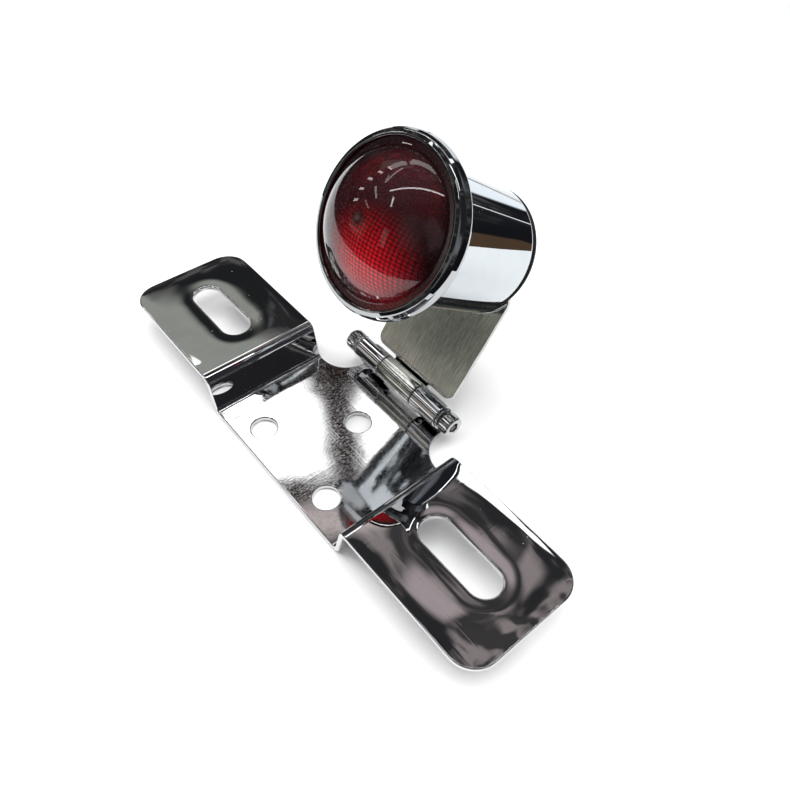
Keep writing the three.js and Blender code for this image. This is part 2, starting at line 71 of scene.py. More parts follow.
# -------------------------------------------------------- where things are
joints = {j["name"]: j for j in frame["joints"]}
HINGE = Vector(joints["lamp_tilt"]["pos_m"])
FORWARD = -Vector(joints["bulb_press"]["axis"]).normalized()      # the way the lens faces
ALONG = FORWARD.cross(Vector((1, 0, 0))).normalized()             # up the leaf
low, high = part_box("bulb_glass")
axis_point = (low + high) / 2
LAMP_REACH = (axis_point - HINGE).dot(ALONG)
low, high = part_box("hinge_washer_right")
SCREW_SEAT = high.x / MM + GAP
low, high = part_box("plate_bracket")
HALF_LENGTH = high.x / MM
HALF_DEPTH = -low.y / MM
WING_TOP = high.z / MM


def axes(x, y, z, origin):
    """The frame with these axes at origin."""
    m = Matrix((x, y, z)).transposed().to_4x4()
    m.translation = origin
    return m


X = Vector((1, 0, 0))
LEAF_TILT = math.atan2(ALONG.z, ALONG.y)
LEAF = axes(X, ALONG, FORWARD, HINGE)
LAMP = LEAF @ Matrix.Translation((0, LAMP_REACH, LEAF_FRONT * MM))
WORLD = Matrix.Identity(4)
SCREWS = {"right": axes(ALONG, FORWARD, X, HINGE), "left": axes(-ALONG, FORWARD, -X, HINGE)}


# -------------------------------------------------------- materials
class Nodes:
    """Short spelling for a node tree."""

    def __init__(self, tree):
        self.tree = tree
        tree.nodes.clear()

    def add(self, kind, _out=0, **inputs):
        """A node and its output _out. p_name sets a property, i2 the third input, any other key the input so called."""
        node = self.tree.nodes.new(kind)
        for key, value in inputs.items():
            if key.startswith("p_"):
                setattr(node, key[2:], value)
                continue
            socket = node.inputs[int(key[1:])] if key[1:].isdigit() else node.inputs[key]
            if isinstance(value, bpy.types.NodeSocket):
                self.tree.links.new(value, socket)
            else:
                socket.default_value = value
        return node.outputs[_out] if len(node.outputs) else node

    def math(self, op, a, b=0.0):
        return self.add("ShaderNodeMath", p_operation=op, i0=a, i1=b)

    def measure(self, op, a, b):
        """A number from two vectors, such as DISTANCE or DOT_PRODUCT."""
        return self.add("ShaderNodeVectorMath", 1, p_operation=op, i0=a, i1=tuple(b))

    def ramp(self, value, lo, hi, to_lo=0.0, to_hi=1.0):
        return self.add("ShaderNodeMapRange", p_interpolation_type="SMOOTHSTEP",
                        i0=value, i1=lo, i2=hi, i3=to_lo, i4=to_hi)

    def mix(self, factor, a, b):
        node = self.tree.nodes.new("ShaderNodeMix")
        node.data_type = "RGBA"
        for socket, value in zip((node.inputs[0], node.inputs[6], node.inputs[7]), (factor, a, b)):
            if isinstance(value, bpy.types.NodeSocket):
                self.tree.links.new(value, socket)
            else:
                socket.default_value = value if not isinstance(value, tuple) or len(value) == 4 else (*value, 1)
        return node.outputs[2]

    def noise(self, coords, scale, detail=3.0, rough=0.5, stretch=None, turn=0.0):
        if turn:
            coords = self.add("ShaderNodeMapping", Vector=coords, Rotation=(turn, 0.0, 0.0))
        if stretch:
            coords = self.add("ShaderNodeMapping", Vector=coords, Scale=stretch)
        return self.add("ShaderNodeTexNoise", Vector=coords, Scale=scale, Detail=detail, Roughness=rough)


def material(name, colour, metallic, build, **sockets):
    """A Principled material; build(n, coords) returns the sockets that vary over the surface."""
    m = bpy.data.materials.new(name)
    m.use_nodes = True
    n = Nodes(m.node_tree)
    coords = n.add("ShaderNodeTexCoord", 3)
    inputs = {"Base Color": (*colour, 1), "Metallic": metallic}
    inputs.update({key.replace("_", " "): value for key, value in sockets.items()})
    inputs.update(build(n, coords))
    n.add("ShaderNodeOutputMaterial", Surface=n.add("ShaderNodeBsdfPrincipled", **inputs))
    return m


def bump(n, height, distance, normal=None):
    inputs = {"Height": height, "Distance": distance, "Strength": 1.0}
    if normal is not None:
        inputs["Normal"] = normal
    return n.add("ShaderNodeBump", **inputs)


def chrome_detail(tint, dark, rough, ripple, scratches, centre=False, grain=None):
    """Plated metal: slow ripple of the buffed sheet, fine hairlines, smudges and a few specks."""

    def build(n, coords):
        smudge = n.noise(coords, 55.0, 4.0, 0.6)
        fine = n.noise(coords, 900.0, 2.0, 0.5)
        roughness = n.math("ADD", n.ramp(smudge, 0.35, 0.8, rough, rough * 2.4),
                           n.ramp(fine, 0.5, 0.8, 0.0, rough * 0.5))
        hair = n.noise(coords, 260.0, 2.0, 0.4, stretch=(0.04, 1.0, 1.0))
        hair2 = n.noise(coords, 310.0, 2.0, 0.4, stretch=(1.0, 0.05, 1.0))
        lines = n.math("ADD", n.ramp(hair, 0.66, 0.7), n.ramp(hair2, 0.67, 0.71))
        height = n.math("MULTIPLY", lines, scratches)
        swell = n.noise(coords, 70.0, 1.0, 0.4)
        normal = bump(n, swell, ripple)
        speck = n.add("ShaderNodeTexVoronoi", 0, Vector=coords, Scale=420.0)
        dust = n.ramp(speck, 0.06, 0.1, 1.0, 0.0)
        rare = n.ramp(n.noise(coords, 130.0, 1.0), 0.56, 0.62)
        dust = n.math("MULTIPLY", dust, rare)
        colour = n.mix(n.ramp(smudge, 0.3, 0.8), tint, dark)
        if centre:
            # The middle of the stamping is only brushed before plating; the wings are buffed bright.
            x = n.add("ShaderNodeSeparateXYZ", 0, Vector=coords)
            z = n.add("ShaderNodeSeparateXYZ", 2, Vector=coords)
            flat = n.math("MULTIPLY", n.ramp(n.math("ABSOLUTE", x), 0.034, 0.0385, 1.0, 0.0),
                          n.ramp(z, 0.0025, 0.004, 1.0, 0.0))
            weave = n.noise(coords, 1900.0, 2.0, 0.6, stretch=(1.0, 0.4, 1.0))
            roughness = n.math("ADD", roughness, n.math("MULTIPLY", flat, n.ramp(weave, 0.3, 0.75, 0.02, 0.09)))
            height = n.math("ADD", height, n.math("MULTIPLY", flat, weave))
        if grain:
            weave = n.noise(coords, 3800.0, 3.0, 0.6, stretch=grain, turn=-LEAF_TILT)
            wide = n.noise(coords, 1700.0, 3.0, 0.6, stretch=grain, turn=-LEAF_TILT)
            roughness = n.math("ADD", roughness, n.ramp(weave, 0.3, 0.75, 0.02, 0.12))
            height = n.math("ADD", height, n.math("MULTIPLY", weave, 1.5))
            colour = n.mix(n.ramp(wide, 0.35, 0.7, 0.0, 0.9), colour, dark)
        normal = bump(n, height, FINE_RELIEF, normal)
        colour = n.mix(n.math("MULTIPLY", dust, 0.6), colour, (0.75, 0.75, 0.72, 1))
        roughness = n.math("ADD", roughness, n.math("MULTIPLY", dust, 0.35))
        return {"Base Color": colour, "Roughness": roughness, "Normal": normal}

    return build


def plain_detail(dark, light, rough, scale, depth, stretch=(1.0, 1.0, 1.0)):
    """Turned, drawn or moulded stuff: mottled colour, uneven gloss and a fine relief."""

    def build(n, coords):
        broad = n.noise(coords, scale, 4.0, 0.6)
        fine = n.noise(coords, scale * 9, 3.0, 0.6, stretch=stretch)
        return {
            "Base Color": n.mix(n.ramp(broad, 0.3, 0.7), dark, light),
            "Roughness": n.ramp(fine, 0.3, 0.75, rough * 0.75, rough * 1.3),
            "Normal": bump(n, fine, depth),
        }

    return build


def lens_skin():
    """Clear red acrylic seen through its polished outside: tinted passage and a faint bloom under a sharp gloss."""
    m = bpy.data.materials.new("red_lens_skin")
    m.use_nodes = True
    n = Nodes(m.node_tree)
    coords = n.add("ShaderNodeTexCoord", 3)
    ripple = n.noise(coords, 160.0, 2.0, 0.4)
    speck = n.noise(coords, 900.0, 2.0, 0.5)
    normal = bump(n, ripple, 0.00001)
    tint = n.mix(n.ramp(ripple, 0.3, 0.7), (0.84, 0.1, 0.14), (0.9, 0.13, 0.17))
    through = n.add("ShaderNodeBsdfTransparent", Color=tint)
    polish = n.ramp(speck, 0.55, 0.8, 0.01, 0.05)
    gloss = n.add("ShaderNodeBsdfAnisotropic", Color=(1, 1, 1, 1), Roughness=polish, Normal=normal)
    edge = n.add("ShaderNodeFresnel", IOR=1.49, Normal=normal)
    bloom = n.add("ShaderNodeBsdfAnisotropic", Color=(0.95, 0.82, 0.92, 1), Roughness=0.5, Normal=normal)
    body = n.add("ShaderNodeMixShader", i0=0.03, i1=through, i2=bloom)
    n.add("ShaderNodeOutputMaterial", Surface=n.add("ShaderNodeMixShader", i0=edge, i1=body, i2=gloss))
    return m


LENS_PAINTED_GLOW = LAMP @ (Vector((7.0, -11.5, 65.0)) * MM)      # centre of the red glow painted on the prisms, where they would gather most light
LENS_GATE = LAMP @ (Vector((0, 0, 68.4)) * MM)              # the moulding mark at the dome's tip


def prism_detail_painted_glow(n, coords):
    """The moulded inside of the lens, with light painted on: a red glow painted into its colour and emission, brightest
    low on the dome, and painted shade round the rim and at the gate mark.
    """
    deep = n.measure("DISTANCE", coords, LENS_PAINTED_GLOW)
    gate = n.measure("DISTANCE", coords, LENS_GATE)
    cloud = n.noise(coords, 90.0, 3.0, 0.5)
    grain = n.noise(coords, 1400.0, 2.0, 0.5)
    away = []
    for way in (X, ALONG):
        run = n.math("DIVIDE", n.measure("DOT_PRODUCT", coords, way), PRISM_PITCH * MM)
        shift = n.math("ADD", run, -LAMP.translation.dot(way) / (PRISM_PITCH * MM) + 40)
        away.append(n.math("POWER", n.math("SUBTRACT", n.math("FRACT", shift), 0.5), 2.0))
    # Painted facet shade: each prism cell is painted bright in its middle and darker towards its edges, as its facets
    # would catch the light.
    painted_facet_shade = n.ramp(n.math("SQRT", n.math("ADD", *away)), 0.2, 0.56, 1.0, 0.12)
    # Painted glow: bright near the glow's centre low on the dome, fading to painted shade towards the rim, and painted
    # dark at the gate mark, where the plain spot shows the shaded inside.
    clear = n.math("MULTIPLY", n.ramp(deep, 0.002, 0.0205, 1.0, 0.0), n.ramp(gate, 0.0014, 0.0034, 0.1, 1.0))
    clear = n.math("MULTIPLY", clear, n.math("MULTIPLY", painted_facet_shade, n.ramp(cloud, 0.3, 0.7, 0.8, 1.0)))
    return {
        # The colour and the emission are painted light: dark maroon for the shaded inside, and a bright red glow that
        # shines though the bulb is not lit.
        "Base Color": n.mix(clear, (0.035, 0.003, 0.008), (0.7, 0.02, 0.05)),
        "Emission Color": n.mix(clear, (0.004, 0.0002, 0.001), (0.58, 0.012, 0.045)),
        "Emission Strength": 1.0,
        "Roughness": n.ramp(grain, 0.4, 0.8, 0.22, 0.34),
        "Normal": bump(n, grain, FINE_RELIEF),
    }


def glass_detail(n, coords):
    """Blown glass: a slow ripple."""
    ripple = n.noise(coords, 240.0, 1.0, 0.4)
    return {"Roughness": n.ramp(ripple, 0.4, 0.8, 0.0, 0.03), "Normal": bump(n, ripple, 0.00001)}


MATERIALS = {
    "chrome_plate": material("bracket_chrome", (0.8, 0.8, 0.8), 1.0,
                             chrome_detail((0.66, 0.66, 0.67), (0.58, 0.58, 0.59), 0.009, 0.00006, 0.35, centre=True)),
    "leaf_chrome": material("leaf_brushed_chrome", (0.6, 0.6, 0.6), 1.0,
                            chrome_detail((0.72, 0.73, 0.7), (0.4, 0.41, 0.385), 0.03, 0.00005, 0.4,
                                          grain=(1.0, 0.08, 1.0))),
    "chrome_body": material("lamp_chrome", (0.86, 0.88, 0.9), 1.0,
                            chrome_detail((0.57, 0.61, 0.635), (0.52, 0.56, 0.585), 0.012, 0.000012, 0.2)),
    "hardware": material("screw_chrome", (0.8, 0.8, 0.8), 1.0,
                         chrome_detail((0.56, 0.56, 0.56), (0.34, 0.34, 0.35), 0.025, 0.00003, 0.6)),
    "spring_steel": material("spring_steel", (0.5, 0.5, 0.5), 1.0,
                             plain_detail((0.4, 0.41, 0.43), (0.6, 0.61, 0.62), 0.2, 180.0, 0.00001)),
    "brass": material("nickel_brass", (0.7, 0.55, 0.3), 1.0,
                      plain_detail((0.7, 0.52, 0.25), (0.82, 0.66, 0.38), 0.22, 160.0, 0.00001, (1.0, 1.0, 12.0))),
    "red_lens": lens_skin(),
    "bulb_glass": material("clear_bulb_glass", (0.96, 0.97, 0.97), 0.0, glass_detail,
                           Transmission_Weight=1.0, IOR=1.5),
    "reflector": material("spun_aluminium", (0.9, 0.91, 0.92), 1.0,
                          plain_detail((0.8, 0.8, 0.8), (0.9, 0.9, 0.9), 0.34, 120.0, 0.00001, (1.0, 1.0, 20.0))),
    "socket_steel": material("zinc_plated_steel", (0.65, 0.66, 0.67), 1.0,
                             plain_detail((0.56, 0.57, 0.58), (0.72, 0.73, 0.74), 0.28, 140.0, 0.000015)),
    "rubber": material("black_rubber", (0.02, 0.02, 0.022), 0.0,
                       plain_detail((0.012, 0.012, 0.014), (0.03, 0.03, 0.033), 0.62, 200.0, 0.00003)),
    "phenolic": material("phenolic_board", (0.2, 0.12, 0.08), 0.0,
                         plain_detail((0.1, 0.05, 0.03), (0.2, 0.11, 0.06), 0.5, 220.0, 0.00002)),
    "tungsten": material("tungsten_wire", (0.35, 0.36, 0.38), 1.0,
                         plain_detail((0.28, 0.29, 0.3), (0.42, 0.43, 0.45), 0.35, 400.0, 0.000005)),
}
SLOT_OF = {part["node"]: part["material_slot"] for part in frame["record"]["subparts"]}
for name, node in frame["nodes"].items():
    node.data.materials.clear()
    node.data.materials.append(MATERIALS[SLOT_OF[name]])


# -------------------------------------------------------- mesh tools
def add_object(name, data):
    obj = bpy.data.objects.new(name, data)
    bpy.context.scene.collection.objects.link(obj)
    return obj


def make(name, verts, faces, matrix, body, nodes, normals=None, sharp=30.0):
    """A piece from points in millimetres, placed by matrix, riding on body, standing for nodes."""
    mesh = bpy.data.meshes.new(name)
    mesh.from_pydata([matrix @ (Vector(v) * MM) for v in verts], [], faces)
    mesh.validate()
    mesh.shade_smooth()
    piece = add_object(name, mesh)
    if normals is not None:
        turn = matrix.to_3x3()
        mesh.normals_split_custom_set_from_vertices([turn @ v for v in normals])
    else:
        mesh.set_sharp_from_angle(angle=math.radians(sharp))
        weighted = piece.modifiers.new("even_normals", "WEIGHTED_NORMAL")
        weighted.keep_sharp = True
    mesh.materials.append(MATERIALS[SLOT_OF[nodes[0]]])
    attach(piece, body)
    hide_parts(*nodes)
    return piece


def skin(rings, closed=False):
    """Points and faces joining rings of equal count; a ring of one point is a tip. closed joins last to first."""
    verts, starts, faces = [], [], []
    for points in rings:
        starts.append((len(verts), len(points)))
        verts.extend(points)
    pairs = list(zip(starts, starts[1:])) + ([(starts[-1], starts[0])] if closed else [])
    for (a, na), (b, nb) in pairs:
        count = max(na, nb)
        if count == 1:
            continue
        for i in range(count):
            j = (i + 1) % count
            if na == 1:
                faces.append((a, b + j, b + i))
            elif nb == 1:
                faces.append((a + i, a + j, b))
            else:
                faces.append((a + i, a + j, b + j, b + i))
    return verts, faces


def loft(name, rings, matrix, body, nodes, sharp=30.0, closed=False):
    return make(name, *skin(rings, closed), matrix, body, nodes, sharp=sharp)


def rounded(profile, radius, steps=5, closed=True):
    """The profile with each corner turned into an arc; radius is one number or one for each corner."""
    points = [Vector(p) for p in profile]
    count = len(points)
    radii = radius if isinstance(radius, (list, tuple)) else [radius] * count
    out = []
    for i, p in enumerate(points):
        if radii[i] <= 0 or (not closed and i in (0, count - 1)):
            out.append(tuple(p))
            continue
        a, b = points[i - 1] - p, points[(i + 1) % count] - p
        angle = a.angle(b)
        if angle > math.pi - 0.02:
            out.append(tuple(p))
            continue
        reach = min(radii[i] / math.tan(angle / 2), 0.49 * min(a.length, b.length))
        r = reach * math.tan(angle / 2)
        centre = p + (a.normalized() + b.normalized()).normalized() * (r / math.sin(angle / 2))
        start, end = p + a.normalized() * reach - centre, p + b.normalized() * reach - centre
        sweep = start.angle_signed(end)
        for k in range(steps + 1):
            turn = -sweep * k / steps
            c, s = math.cos(turn), math.sin(turn)
            out.append((centre.x + start.x * c - start.y * s, centre.y + start.x * s + start.y * c))
    return out


def ring(radius, z, count):
    """Points round the axis; radius may be a function of the angle."""
    points = []
    for i in range(count):
        a = TAU * i / count
        r = radius(a) if callable(radius) else radius
        points.append((r * math.cos(a), r * math.sin(a), z))
    return points


def split_ring(section, gap, count, lift=0.0):
    """Rings of a section swept round the axis, all but the angle gap, rising by lift on the way."""
    rings = []
    for i in range(count + 1):
        a = gap / 2 + (TAU - gap) * i / count
        rise = lift * (i / count - 0.5)
        rings.append([(r * math.cos(a), r * math.sin(a), z + rise) for r, z in reversed(section)])
    return rings


def turned(name, profile, matrix, body, nodes, count=128):
    """A body of revolution about local Z from (radius, height) points, outer skin anticlockwise."""
    return loft(name, [ring(r, z, count) for r, z in profile], matrix, body, nodes, closed=True)


def hexagon(across_flats):
    """Radius of a hexagon at an angle."""
    def radius(a):
        part = (a + math.pi / 6) % (math.pi / 3) - math.pi / 6
        return across_flats / 2 / math.cos(part)
    return radius


def trace(start, heading, parts):
    """A path of straight and bent stretches, (length, curvature) each; returns u -> (point, heading)."""
    knots = [(0.0, Vector(start), heading)]

    def step(point, angle, length, bend):
        if bend == 0:
            return point + Vector((math.cos(angle), math.sin(angle))) * length, angle
        centre = point + Vector((-math.sin(angle), math.cos(angle))) / bend
        end = angle + length * bend
        return centre + Vector((math.sin(end), -math.cos(end))) / bend, end

    for length, bend in parts:
        u, point, angle = knots[-1]
        knots.append((u + length, *step(point, angle, length, bend)))

    def at(u):
        i = 0
        while i < len(parts) - 1 and u > knots[i + 1][0]:
            i += 1
        return step(knots[i][1], knots[i][2], u - knots[i][0], parts[i][1])

    at.knots = [k[0] for k in knots]
    return at


def inside(points, loops):
    """Which points lie in the material, and how far each is from the nearest outline."""
    points = np.asarray(points, float)
    odd = np.zeros(len(points), bool)
    near = np.full(len(points), 1e9)
    for loop in loops:
        a = np.asarray(loop, float)
        b = np.roll(a, -1, 0)
        for (x0, y0), (x1, y1) in zip(a, b):
            crosses = (y0 > points[:, 1]) != (y1 > points[:, 1])
            if y1 != y0:
                at_x = x0 + (points[:, 1] - y0) * (x1 - x0) / (y1 - y0)
                odd ^= crosses & (points[:, 0] < at_x)
            d = np.array([x1 - x0, y1 - y0])
            t = np.clip(((points - (x0, y0)) @ d) / max(d @ d, 1e-12), 0, 1)
            near = np.minimum(near, np.linalg.norm(points - (x0, y0) - t[:, None] * d, axis=1))
    return odd, near


def outward(loop):
    """Unit normals at the points of an outline, pointing out of the material."""
    a = np.asarray(loop, float)
    ahead, behind = np.roll(a, -1, 0) - a, a - np.roll(a, 1, 0)
    normals = []
    for e in (behind, ahead):
        length = np.linalg.norm(e, axis=1)[:, None]
        normals.append(np.stack([e[:, 1], -e[:, 0]], 1) / length)
    total = normals[0] + normals[1]
    return total / np.linalg.norm(total, axis=1)[:, None]


POINT_ROOM = 0.28        # inner points of a sheet stay this far from its outline
EDGE_STEPS = 4           # facets of a rounded edge, on each side
EDGE_TURNS = [(math.pi / 2 - math.pi / 2 * k / EDGE_STEPS, 1) for k in range(1, EDGE_STEPS + 1)]
EDGE_TURNS += [(-math.pi / 2 * k / EDGE_STEPS, -1) for k in range(EDGE_STEPS)]


def sheet(name, loops, inner, place, matrix, body, nodes, edge=0.55):
    """A sheet SHEET thick with rounded edges. loops are flat outlines, outer anticlockwise and holes clockwise;
    place(s, t) gives point, normal, and the directions of s and t on its middle surface."""
    sides = [outward(loop) for loop in loops]
    insets = [np.asarray(loop, float) - edge * side for loop, side in zip(loops, sides)]
    odd, near = inside(inner, insets)
    points = [Vector(p) for p, o, d in zip(inner, odd, near) if o and d > POINT_ROOM]
    edges = []
    for loop in insets:
        start = len(points)
        points += [Vector(p) for p in loop]
        edges += [(start + i, start + (i + 1) % len(loop)) for i in range(len(loop))]
    flat, _, faces, origin, _, _ = delaunay_2d_cdt(points, edges, [], 0, 1e-7)
    index = {k: i for i, known in enumerate(origin) for k in known}
    centres = [sum((flat[i] for i in f), Vector((0, 0))) / 3 for f in faces]
    keep, _ = inside(centres, insets)
    faces = [tuple(f) for f, k in zip(faces, keep) if k]
    verts, normals = [], []
    for side in (1, -1):
        for p in flat:
            point, normal, _, _ = place(p.x, p.y)
            verts.append(point + normal * side * SHEET / 2)
            normals.append(normal * side)
    count = len(flat)
    made = [f if (flat[f[1]] - flat[f[0]]).cross(flat[f[2]] - flat[f[0]]) > 0 else f[::-1] for f in faces]
    made += [tuple(i + count for i in f[::-1]) for f in made]
    first = len(points) - sum(len(loop) for loop in insets)
    for loop, side in zip(loops, sides):
        size = len(loop)
        top = [index[first + i] for i in range(size)]
        rows = [top]
        for a, sign in EDGE_TURNS:
            height = sign * (SHEET / 2 - edge) + edge * math.sin(a)
            row = []
            for (s, t), (ns, nt) in zip(loop, side):
                reach = edge * (math.cos(a) - 1)
                point, normal, along_s, along_t = place(s + ns * reach, t + nt * reach)
                out = along_s * ns + along_t * nt
                row.append(len(verts))
                verts.append(point + normal * height)
                normals.append((out * math.cos(a) + normal * math.sin(a)).normalized())
            rows.append(row)
        rows.append([i + count for i in top])
        for upper, lower in zip(rows, rows[1:]):
            for i in range(size):
                j = (i + 1) % size
                made.append((upper[i], lower[i], lower[j], upper[j]))
        first += size
    used = sorted({i for f in made for i in f})
    renumber = {old: new for new, old in enumerate(used)}
    made = [tuple(renumber[i] for i in f) for f in made]
    return make(name, [verts[i] for i in used], made, matrix, body, nodes, normals=[normals[i] for i in used])


def arc(cx, cy, radius, start, end, steps):
    """Points of an arc, both ends included; angles in degrees."""
    return [(cx + radius * math.cos(math.radians(start + (end - start) * i / steps)),
             cy + radius * math.sin(math.radians(start + (end - start) * i / steps))) for i in range(steps + 1)]


def line(a, b, step):
    """Points from a up to but not including b, about step apart."""
    a, b = Vector(a), Vector(b)
    count = max(1, round((b - a).length / step))
    return [tuple(a.lerp(b, i / count)) for i in range(count)]


def spread(knots, steps):
    """Coordinates through the knots, each gap cut into steps of about the given size."""
    out = [knots[0]]
    for a, b, step in zip(knots, knots[1:], steps):
        count = max(1, round((b - a) / step))
        out += [a + (b - a) * (i + 1) / count for i in range(count)]
    return out


# -------------------------------------------------------- licence plate bracket
BEND = 3.0
RISER_FOOT, RISER_HEAD = 39.5, 43.0
MIDDLE = SHEET / 2
LIFT = WING_TOP - SHEET
LEAN = math.atan2(LIFT, RISER_HEAD - RISER_FOOT)
RUN = BEND * math.tan(LEAN / 2)
FOOT_X = RISER_FOOT - RUN
HEAD_X = RISER_HEAD + RUN
ARC_LENGTH = BEND * LEAN
corner_a = Vector((FOOT_X + BEND * math.sin(LEAN), MIDDLE + BEND * (1 - math.cos(LEAN))))
corner_b = Vector((HEAD_X - BEND * math.sin(LEAN), LIFT + MIDDLE - BEND * (1 - math.cos(LEAN))))
STRAIGHT = (corner_b - corner_a).length
# half the bracket's section, from the middle of the centre plate to the end of a wing
hat = trace((0, MIDDLE), 0.0, [(FOOT_X, 0), (ARC_LENGTH, 1 / BEND), (STRAIGHT, 0), (ARC_LENGTH, -1 / BEND),
                               (HALF_LENGTH - HEAD_X, 0)])
WING_START = hat.knots[4]
TO_FLAT = WING_START - HEAD_X                # flat coordinate minus x, on a wing
HINGE_Y, HINGE_Z = HINGE.y / MM, HINGE.z / MM
ROLL = KNUCKLE - MIDDLE
TAB_END = HINGE_Y + ROLL - BEND
ROLL_SWEEP = math.radians(258)
# the hinge tab's section, up and round the screws
tab = trace((0, MIDDLE), 0.0, [(TAB_END, 0), (BEND * math.pi / 2, 1 / BEND), (HINGE_Z - MIDDLE - BEND, 0),
                               (ROLL * ROLL_SWEEP, 1 / ROLL)])
SLOT_X, SLOT_REACH, SLOT_R = 73.0, 11.0, 6.0
SLOT_RINGS = (0.9, 1.7, 2.6, 3.6, 4.8, 6.2, 7.8)      # rows of points round a slot, beyond its edge
HOLE_R = 5.1
HOLES = ((-20.4, -15), (20.4, -15), (0, 15.3))
WING_CORNER, SCALLOP, TAB_HALF, NOTCH = 10.0, 12.0, 24.0, 10.0
HALF_COLUMNS = spread(hat.knots, [2.2, 0.35, 2.2, 0.35, 1.6])
COLUMNS = [-v for v in reversed(HALF_COLUMNS[1:])] + HALF_COLUMNS
TAB_ROWS = spread([HALF_DEPTH + SCALLOP, TAB_END, *tab.knots[2:]], [1.0, 0.35, 1.2, 0.35])


def hollow(x, y):
    """Height of a wing's face over flat: pressed in round the slot, rubbed down along its rim."""
    slot = math.hypot(max(abs(abs(x) - SLOT_X) - SLOT_REACH, 0), y) - SLOT_R
    rim = min(HALF_LENGTH - abs(x), HALF_DEPTH - abs(y))
    fade = min(max((abs(x) - HEAD_X) / 6, 0), 1)
    dish = -0.15 * math.exp(-(max(slot, 0) / 3.6) ** 2)
    rub = -0.1 * math.exp(-(max(rim, 0) / 2.6) ** 2)
    droop = -0.5 * (max(abs(x) - 84, 0) / 20) ** 2
    belly = -0.10 * math.cos(x * 0.085) * math.cos(y * 0.09)
    return fade * (dish + rub + belly + droop)


def bracket_place(s, t):
    """Bends the flat blank: s runs along the wings, t from the front edge to the tab's rolled end."""
    if t > TAB_END:
        (y, z), a = tab(t)
        return Vector((s, y, z)), Vector((0, -math.sin(a), math.cos(a))), X, Vector((0, math.cos(a), math.sin(a)))
    side = -1 if s < 0 else 1
    (x, z), a = hat(abs(s))
    point, normal = Vector((side * x, t, z)), Vector((-side * math.sin(a), 0, math.cos(a)))
    along = Vector((math.cos(a), 0, side * math.sin(a)))
    across = Vector((0, 1, 0))
    if x > HEAD_X:
        h, d = hollow(x, t), 0.05
        slope_s = side * (hollow(x + d, t) - hollow(x - d, t)) / (2 * d)
        slope_t = (hollow(x, t + d) - hollow(x, t - d)) / (2 * d)
        point = point + normal * h
        normal = (normal - along * slope_s - across * slope_t).normalized()
    return point, normal, along, across


def obround(x, r):
    """Outline of a slot, or of a row round it, with end radius r."""
    right, left = x + SLOT_REACH, x - SLOT_REACH
    loop = arc(right, 0, r, -90, 90, 22) + line((right, r), (left, r), 1.2)[1:]
    return loop + arc(left, 0, r, 90, 270, 22) + line((left, -r), (right, -r), 1.2)[1:]


def bracket_outline():
    """The blank from its front edge round the right wing, the concave corner, the tab and its notch, and back."""
    end, top = hat.knots[-1], tab.knots[-1]
    scallop_x, notch_t, corner = TAB_HALF + SCALLOP, HINGE_Y - 0.5, WING_CORNER
    right = arc(end - corner, -HALF_DEPTH + corner, corner, -90, 0, 16)
    right += line((end, -HALF_DEPTH + corner), (end, HALF_DEPTH - corner), 1.6)[1:]
    right += arc(end - corner, HALF_DEPTH - corner, corner, 0, 90, 16)
    right += [(v, HALF_DEPTH) for v in reversed(HALF_COLUMNS) if scallop_x + 0.2 < v < end - corner - 0.2]
    right += arc(scallop_x, HALF_DEPTH + SCALLOP, SCALLOP, 270, 180, 18)
    right += [(TAB_HALF, v) for v in TAB_ROWS[1:-1]]
    right += line((TAB_HALF, top), (NOTCH, top), 1.5)
    right += [(NOTCH, v) for v in reversed(TAB_ROWS) if v > HINGE_Y - 0.2]
    right += line((NOTCH, notch_t), (0, notch_t), 1.5)
    front = [(v, -HALF_DEPTH) for v in COLUMNS if abs(v) < end - corner - 0.2]
    left = [(-x, y) for x, y in reversed(right)]
    return front + right + [(0, notch_t)] + left


def bracket():
    """The stamping: centre plate, risers, wings with slots, and the tab rolled into the outer knuckles."""
    holes = [arc(x, y, HOLE_R, 0, 360, 56)[:-1][::-1] for x, y in HOLES]
    inner = [(s, t) for s in COLUMNS for t in np.arange(-HALF_DEPTH + 0.8, HALF_DEPTH, ROW_STEP)]
    edge_rows = [HALF_DEPTH - 0.8 - d for d in (0.0, 0.9, 1.9)]
    inner += [(s, sign * t) for s in COLUMNS if abs(s) > WING_START for t in edge_rows for sign in (-1, 1)]
    inner += [(s, t) for s in np.arange(-TAB_HALF + 1, TAB_HALF, 1.6) for t in TAB_ROWS]
    inner += [(s, t) for s in np.arange(-34, 34.1, 2) for t in np.arange(HALF_DEPTH, TAB_END, 2)]
    for x in (-SLOT_X - TO_FLAT, SLOT_X + TO_FLAT):
        holes.append(obround(x, SLOT_R)[::-1])
        for grow in SLOT_RINGS:
            inner += obround(x, SLOT_R + grow)
    sheet("plate_bracket_stamping", [bracket_outline()] + holes, inner, bracket_place, WORLD, "bracket",
          ["plate_bracket"])


# -------------------------------------------------------- lamp bracket leaf
LEAF_HALF, LEAF_START, LEAF_SHOULDER, LEAF_DISC = 22.0, 5.3, 53.0, 20.0
LEAF_LOW_CORNER, LEAF_HIGH_CORNER = 4.0, 6.0
LEAF_HOLES = ((-BOLT_X, 2.7), (BOLT_X, 2.7), (0, 4.0))
BARREL_HALF = 9.7                   # half length of the middle knuckle
leaf_roll = trace((0, -ROLL), math.pi, [(ROLL * math.radians(285), -1 / ROLL)])
LEAF_LAMP = LAMP_REACH / MM


def leaf_place(s, t):
    """Bends the leaf: t above 0 is flat, below 0 it runs round the middle knuckle."""
    if t < 0:
        (y, z), a = leaf_roll(-t)
        return (Vector((s, y, z)), Vector((0, math.sin(a), -math.cos(a))), X,
                Vector((0, -math.cos(a), -math.sin(a))))
    return Vector((s, t, -ROLL)), Vector((0, 0, 1)), X, Vector((0, 1, 0))


